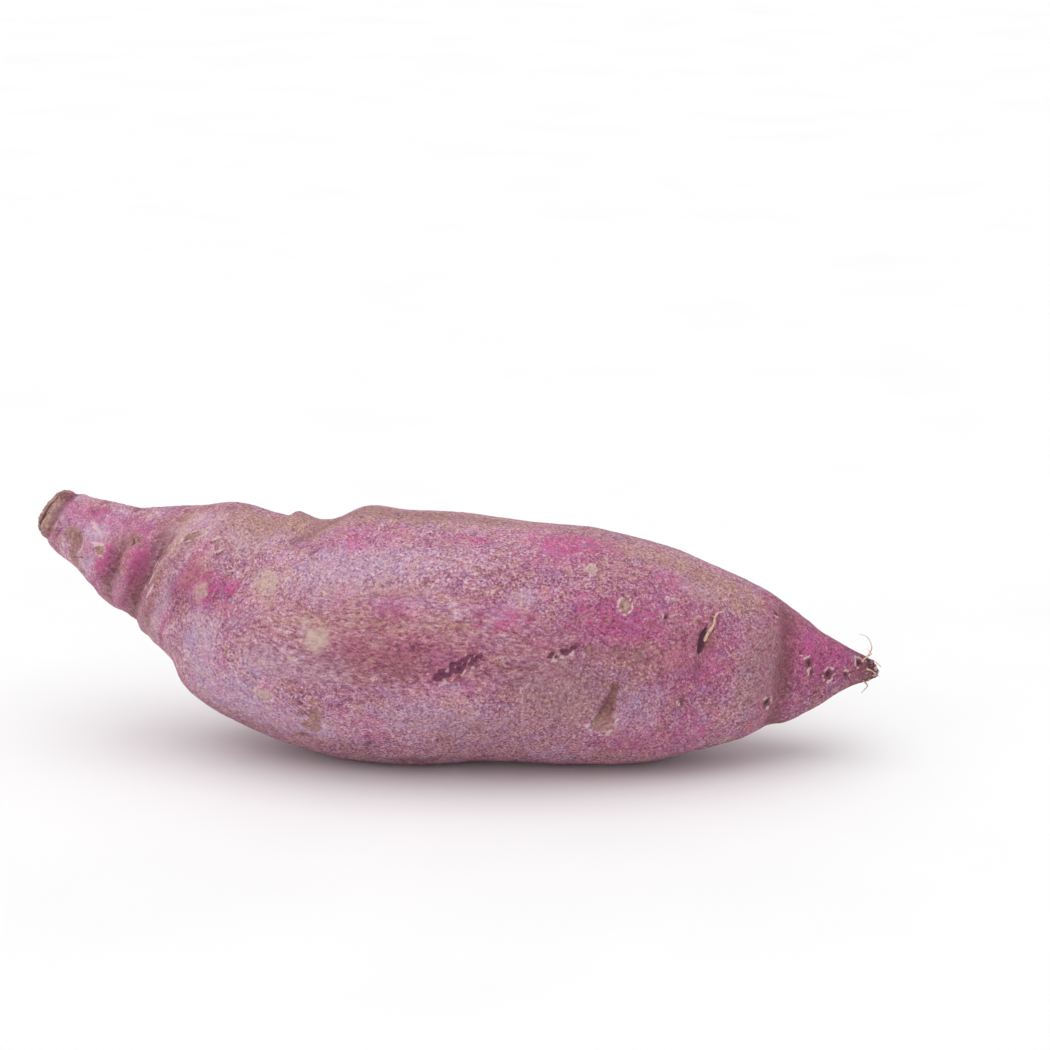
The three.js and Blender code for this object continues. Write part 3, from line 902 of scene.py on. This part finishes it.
class Shader:
    """A material under one Principled shader, with short names for the nodes that feed it."""

    def __init__(self, name):
        self.material = bpy.data.materials.new(name)
        self.material.use_nodes = True
        self.nodes = self.material.node_tree.nodes
        self.main = self.nodes["Principled BSDF"]

    def feed(self, socket, value):
        """Links value to a socket if it comes from a node, or else sets it there."""
        if isinstance(value, bpy.types.NodeSocket):
            self.material.node_tree.links.new(value, socket)
        else:
            socket.default_value = value

    def math(self, operation, *values):
        """A sum, product or the like of up to three values."""
        made = self.nodes.new("ShaderNodeMath")
        made.operation = operation
        for socket, value in zip(made.inputs, values):
            self.feed(socket, value)
        return made.outputs[0]

    def layer(self, name):
        """A layer painted on the skin's points."""
        made = self.nodes.new("ShaderNodeAttribute")
        made.attribute_name = name
        return made.outputs["Vector"] if name == "straight" else made.outputs["Fac"]

    def stretched(self, vector, scale):
        """The place scaled along, and to both sides."""
        made = self.nodes.new("ShaderNodeVectorMath")
        made.operation = "MULTIPLY"
        self.feed(made.inputs[0], vector)
        made.inputs[1].default_value = scale
        return made.outputs[0]

    def noise(self, vector, size, detail=2.0, rough=0.55, seed=0.0):
        """Smooth noise from 0 to 1 with lumps of that size in millimetres."""
        made = self.nodes.new("ShaderNodeTexNoise")
        made.noise_dimensions = "4D"
        self.feed(made.inputs["Vector"], vector)
        made.inputs["W"].default_value = seed
        made.inputs["Scale"].default_value = 1 / size
        made.inputs["Detail"].default_value = detail
        made.inputs["Roughness"].default_value = rough
        return made.outputs["Fac"]

    def ease(self, value, low, high, to_low=0.0, to_high=1.0):
        """value from low to high, eased to run between the other two."""
        made = self.nodes.new("ShaderNodeMapRange")
        made.interpolation_type = "SMOOTHSTEP"
        self.feed(made.inputs["Value"], value)
        ends = {"From Min": low, "From Max": high, "To Min": to_low, "To Max": to_high}
        for name, number in ends.items():
            made.inputs[name].default_value = number
        return made.outputs[0]

    def mix(self, share, first, second):
        """The second colour over the first, by that share."""
        made = self.nodes.new("ShaderNodeMix")
        made.data_type = "RGBA"
        self.feed(made.inputs[0], share)
        self.feed(made.inputs[6], first)
        self.feed(made.inputs[7], second)
        return made.outputs[2]

    def blend(self, share, first, second):
        """The same for plain numbers."""
        made = self.nodes.new("ShaderNodeMix")
        self.feed(made.inputs[0], share)
        self.feed(made.inputs[2], first)
        self.feed(made.inputs[3], second)
        return made.outputs[0]

    def ramp(self, value, stops):
        """A colour for each value, from stops of value and colour."""
        made = self.nodes.new("ShaderNodeValToRGB")
        self.feed(made.inputs[0], value)
        points = made.color_ramp.elements
        while len(points) < len(stops):
            points.new(0.5)
        for point, (at, shade) in zip(points, stops):
            point.position = at
            point.color = shade
        return made.outputs["Color"]

    def bump(self, height, depth):
        """Relief too fine for the mesh, that many metres deep."""
        made = self.nodes.new("ShaderNodeBump")
        made.inputs["Strength"].default_value = 1.0
        made.inputs["Distance"].default_value = depth
        self.feed(made.inputs["Height"], height)
        self.feed(self.main.inputs["Normal"], made.outputs[0])


def skin_material():
    """The root's skin: speckled from maroon to pale lilac, with tan, lavender and magenta in it,
    and the painted layers over it."""
    s = Shader("skin")
    place = s.layer("straight")
    drawn_out = s.stretched(place, (0.45, 1.0, 1.0))
    round_it = s.stretched(place, (1.0, 0.25, 0.25))
    streaky = s.ease(s.layer("streak"), 0.1, 0.8, 0.0, 0.85)
    ringed = s.ease(s.layer("ringed"), 0.1, 0.9, 0.0, 0.6)

    def both(size, detail, rough, seed):
        """Noise that is drawn out along the root where the streak layer is full."""
        plain = s.noise(place, size, detail, rough, seed)
        return s.blend(streaky, plain, s.noise(drawn_out, size, detail, rough, seed + 50))

    fine = both(0.55, 3.0, 0.75, 1.0)
    middling = both(1.5, 3.0, 0.65, 2.0)
    middling = s.blend(ringed, middling, s.noise(round_it, 2.2, 3.0, 0.6, 12.0))
    fine = s.blend(s.math("MULTIPLY", ringed, 0.6), fine, middling)
    coarse = s.noise(place, 6.5, 3.0, 0.6, 3.0)
    broad = s.noise(place, 22.0, 2.0, 0.5, 4.0)
    grit = s.noise(place, 0.30, 2.0, 0.8, 5.0)
    hue = s.blend(ringed, both(3.2, 4.0, 0.8, 6.0), s.noise(round_it, 3.0, 4.0, 0.75, 16.0))
    fleck = both(0.6, 3.0, 0.8, 7.0)
    jitter = s.noise(place, 0.8, 3.0, 0.7, 8.0)
    flush = s.layer("flush")
    bloom = s.layer("bloom")
    grey = s.layer("grey")

    deep = s.layer("deep")
    tone = s.math("MULTIPLY_ADD", fine, 2.3, -1.15)
    for part, weight in ((middling, 0.80), (coarse, 0.40), (broad, 0.25), (grit, 1.1)):
        centred = s.math("SUBTRACT", part, 0.5)
        tone = s.math("ADD", tone, s.math("MULTIPLY", centred, weight))
    tone = s.math("ADD", tone, 0.49)
    tone = s.math("SUBTRACT", tone, s.math("MULTIPLY", deep, 0.13))
    tone = s.math("ADD", tone, s.math("MULTIPLY", bloom, 0.14))
    tone = s.math("SUBTRACT", tone, s.math("MULTIPLY", flush, 0.05))
    skin_colour = s.ramp(
        tone,
        (
            (0.05, colour(92, 38, 58)),
            (0.30, colour(146, 78, 104)),
            (0.50, colour(176, 120, 142)),
            (0.70, colour(200, 158, 173)),
            (0.98, colour(228, 204, 208)),
        ),
    )
    tan = s.math("MULTIPLY", s.ease(hue, 0.48, 0.62), s.ease(fleck, 0.40, 0.58, 0.2, 0.95))
    skin_colour = s.mix(s.math("MULTIPLY", tan, 0.55), skin_colour, colour(190, 152, 126))
    lavender = s.math("MULTIPLY", s.ease(hue, 0.52, 0.37), s.ease(fleck, 0.60, 0.42, 0.15, 0.9))
    skin_colour = s.mix(s.math("MULTIPLY", lavender, 0.50), skin_colour, colour(156, 134, 184))
    bloom_share = s.math("MULTIPLY", bloom, s.ease(fleck, 0.35, 0.65, 0.15, 0.75))
    skin_colour = s.mix(bloom_share, skin_colour, colour(180, 160, 190))
    tan_share = s.math("MULTIPLY", s.layer("tan"), s.ease(jitter, 0.40, 0.58, 0.15, 0.95))
    tan_colour = s.ramp(fine, ((0.34, colour(140, 98, 82)), (0.62, colour(202, 164, 142))))
    skin_colour = s.mix(tan_share, skin_colour, tan_colour)
    flushed = s.math("ADD", s.math("MULTIPLY", flush, 1.1), s.ease(coarse, 0.50, 0.70, 0.0, 0.55))
    flushed = s.math("MULTIPLY", flushed, s.ease(fleck, 0.42, 0.58, 0.05, 0.85))
    skin_colour = s.mix(flushed, skin_colour, colour(190, 72, 136))
    deep_share = s.math("MULTIPLY", deep, s.ease(fleck, 0.51, 0.42, 0.0, 0.85))
    skin_colour = s.mix(deep_share, skin_colour, colour(128, 46, 88))
    grey_share = s.math("MULTIPLY", grey, s.ease(middling, 0.35, 0.65, 0.35, 0.8))
    grey_colour = s.ramp(fine, ((0.36, colour(116, 76, 86)), (0.60, colour(170, 132, 138))))
    skin_colour = s.mix(grey_share, skin_colour, grey_colour)
    skin_colour = s.mix(s.ease(fine, 0.41, 0.31, 0.0, 0.7), skin_colour, colour(112, 50, 80))
    pale_specks = s.ease(s.noise(place, 0.42, 2.0, 0.7, 9.0), 0.57, 0.68, 0.0, 0.65)
    pale_specks = s.math("MULTIPLY", pale_specks, s.ease(tone, 0.25, 0.65, 0.25, 1.0))
    skin_colour = s.mix(pale_specks, skin_colour, colour(226, 194, 200))

    def ragged_share(name, most=1.0, rough=0.9):
        """A painted layer with its edge broken up by noise finer than the mesh."""
        offset = s.math("MULTIPLY", s.math("SUBTRACT", jitter, 0.5), rough)
        return s.ease(s.math("ADD", s.layer(name), offset), 0.25, 0.70, 0.0, most)

    corky = s.ramp(
        s.math("ADD", s.math("MULTIPLY", jitter, 0.5), s.math("MULTIPLY", fine, 0.5)),
        ((0.36, colour(118, 82, 80)), (0.50, colour(162, 120, 114)), (0.62, colour(192, 154, 144))),
    )
    pale = s.ramp(fine, ((0.35, colour(172, 138, 134)), (0.62, colour(206, 178, 168))))
    stump = s.ramp(
        s.math("ADD", s.math("MULTIPLY", middling, 0.6), s.math("MULTIPLY", jitter, 0.4)),
        ((0.38, colour(116, 80, 76)), (0.50, colour(164, 124, 118)), (0.62, colour(206, 168, 150))),
    )
    flesh = s.ramp(fine, ((0.38, colour(74, 30, 52)), (0.62, colour(136, 70, 100))))
    edge = s.ramp(fine, ((0.36, colour(194, 160, 164)), (0.62, colour(226, 202, 200))))
    skin_colour = s.mix(ragged_share("cork", 0.9), skin_colour, corky)
    skin_colour = s.mix(ragged_share("cream", 0.85, 0.6), skin_colour, pale)
    skin_colour = s.mix(ragged_share("stub"), skin_colour, stump)
    # painted brown shade in folds, hollows and beside raised flakes, and brown stains
    shade_and_stain_share = s.math("MULTIPLY", s.layer("shade_and_stain"), s.ease(jitter, 0.34, 0.62, 1.0, 0.6))
    skin_colour = s.mix(shade_and_stain_share, skin_colour, colour(108, 60, 64))
    skin_colour = s.mix(ragged_share("torn"), skin_colour, flesh)
    skin_colour = s.mix(ragged_share("rim", 0.8, 0.6), skin_colour, edge)
    # dark soil, and painted shade at the bottom of creases, cracks and pits
    skin_colour = s.mix(ragged_share("dark", 0.85), skin_colour, colour(66, 34, 42))
    s.feed(s.main.inputs["Base Color"], skin_colour)

    worn = s.math("MAXIMUM", s.layer("cork"), s.layer("dark"))
    gloss = s.math("SUBTRACT", s.ease(fine, 0.3, 0.7, 0.62, 0.78), s.math("MULTIPLY", grey, 0.08))
    s.feed(s.main.inputs["Roughness"], s.math("ADD", gloss, s.math("MULTIPLY", worn, 0.16)))
    s.main.inputs["Specular IOR Level"].default_value = 0.35
    height = s.math("ADD", s.math("MULTIPLY", fine, 0.6), s.math("MULTIPLY", grit, 0.35))
    s.bump(s.math("ADD", height, s.math("MULTIPLY", middling, 0.5)), 0.00026)
    return s.material


def rootlet_material():
    """Dry fine root: pale cream with brown stretches."""
    s = Shader("rootlet")
    made = s.nodes.new("ShaderNodeTexCoord")
    place = s.stretched(made.outputs["Object"], (1 / MM, 1 / MM, 1 / MM))
    shade = s.ramp(
        s.noise(place, 1.2, 3.0, 0.6, 1.0),
        ((0.30, colour(128, 88, 70)), (0.50, colour(206, 170, 146)), (0.70, colour(234, 208, 184))),
    )
    s.feed(s.main.inputs["Base Color"], shade)
    s.feed(s.main.inputs["Roughness"], s.ease(s.noise(place, 0.5, 2.0, 0.6, 2.0), 0.3, 0.7, 0.65, 0.85))
    s.bump(s.noise(place, 0.35, 2.0, 0.6, 3.0), 0.0001)
    return s.material


def floor_material():
    """Plain pale table top, with a trace of unevenness in its tint."""
    s = Shader("table")
    made = s.nodes.new("ShaderNodeTexCoord")
    place = s.stretched(made.outputs["Object"], (1 / MM, 1 / MM, 1 / MM))
    tint = s.ramp(
        s.noise(place, 60.0, 3.0, 0.5, 1.0),
        ((0.3, (0.90, 0.90, 0.90, 1.0)), (0.7, (0.93, 0.93, 0.93, 1.0))),
    )
    s.feed(s.main.inputs["Base Color"], tint)
    s.main.inputs["Roughness"].default_value = 0.7
    return s.material


# ---------------------------------------------------------------- pieces


def add(name, mesh, material):
    """A new object in the scene."""
    mesh.materials.append(material)
    made = bpy.data.objects.new(name, mesh)
    bpy.context.scene.collection.objects.link(made)
    return made


press_relief()
potato_skin = add("potato_skin", skin_mesh(), skin_material())
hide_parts("sweet_potato")
rootlets = add("rootlets", rootlets_mesh(), rootlet_material())
for piece in (potato_skin, rootlets):
    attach(piece, "root")

# ---------------------------------------------------------------- table, light and camera

FLOOR_SIZE = 8.0  # metres, so that its edge stays out of sight


def make_floor():
    """A flat table top under the root."""
    half = FLOOR_SIZE / 2
    mesh = bpy.data.meshes.new("table")
    corners = [(-half, -half, 0), (half, -half, 0), (half, half, 0), (-half, half, 0)]
    mesh.from_pydata(corners, [], [(0, 1, 2, 3)])
    add("table", mesh, floor_material())


def make_light():
    """A broad even light from overhead, a weak one from the front left, and a bright room."""
    for name, towards, strength, softness in (
        ("overhead", (0.12, 0.10, -1.0), 1.15, 1.3),
        ("front", (0.55, 0.75, -0.45), 0.25, 0.9),
    ):
        light = bpy.data.lights.new(name, "SUN")
        light.energy = strength
        light.angle = softness
        made = bpy.data.objects.new(name, light)
        made.rotation_euler = Vector(towards).to_track_quat("-Z", "Y").to_euler()
        bpy.context.scene.collection.objects.link(made)
    world = bpy.data.worlds.new("room")
    world.use_nodes = True
    world.node_tree.nodes["Background"].inputs["Color"].default_value = (1.0, 1.0, 1.0, 1.0)
    world.node_tree.nodes["Background"].inputs["Strength"].default_value = 0.72
    bpy.context.scene.world = world


LOOK_ALONG = 0.0826  # the camera looks past the root's middle by this share of its length
LOOK_UP = 0.945  # and at this share of its height
ELEVATION = 15.0  # degrees above the horizon
DISTANCE = 0.70  # metres
FRAME_WIDTH = 1.2256  # width of the picture at the root, in root lengths
SENSOR = 36.0  # width of the camera's sensor in millimetres


def make_camera(low, high):
    """A camera in front of the root and a little above it. low and high are the corners of its
    box."""
    length = high.x - low.x
    middle = (low.x + high.x) / 2 + LOOK_ALONG * length
    target = Vector((middle, (low.y + high.y) / 2, low.z + LOOK_UP * (high.z - low.z)))
    tilt = math.radians(ELEVATION)
    camera = bpy.data.cameras.new("camera")
    camera.sensor_width = SENSOR
    camera.lens = SENSOR * DISTANCE / (FRAME_WIDTH * length)
    made = bpy.data.objects.new("camera", camera)
    made.location = target + DISTANCE * Vector((0.0, -math.cos(tilt), math.sin(tilt)))
    made.rotation_euler = (math.pi / 2 - tilt, 0.0, 0.0)
    bpy.context.scene.collection.objects.link(made)
    bpy.context.scene.camera = made


make_floor()
make_light()
make_camera(*cad_box)
bpy.context.scene.view_settings.view_transform = "Standard"
